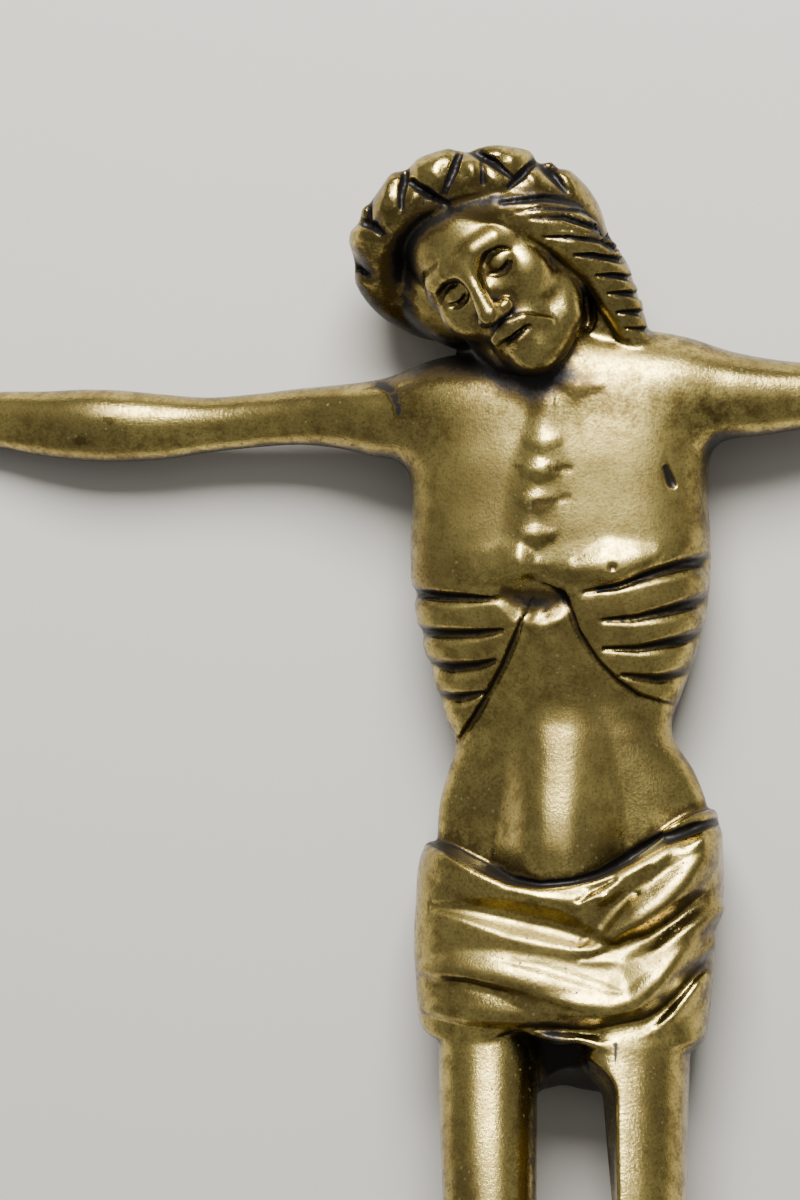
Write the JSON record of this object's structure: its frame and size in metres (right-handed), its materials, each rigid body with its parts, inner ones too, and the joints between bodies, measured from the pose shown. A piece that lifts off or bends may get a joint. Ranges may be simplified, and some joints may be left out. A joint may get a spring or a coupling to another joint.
{
  "type": "crucifix corpus figure",
  "caption": "Small cast brass corpus lying on its flat back, arms outstretched, head bowed under a twisted crown, ribs incised, loincloth in folds, nail holes in palms and feet.",
  "frame": {"origin": "on the flat back, where the middle line of the body crosses the line of the arms", "axes": "+X toward the figure's left hand, +Y toward its head, +Z out of its chest; the figure lies on its back at Z = 0"},
  "size_m": [0.1546, 0.1537, 0.0226],
  "materials": {
    "brass": "worn, softly polished cast brass with grey-black patina in the carving, fine file marks and small casting pits"
  },
  "bodies": {
    "root": {"corpus": "brass"}
  },
  "joints": []
}
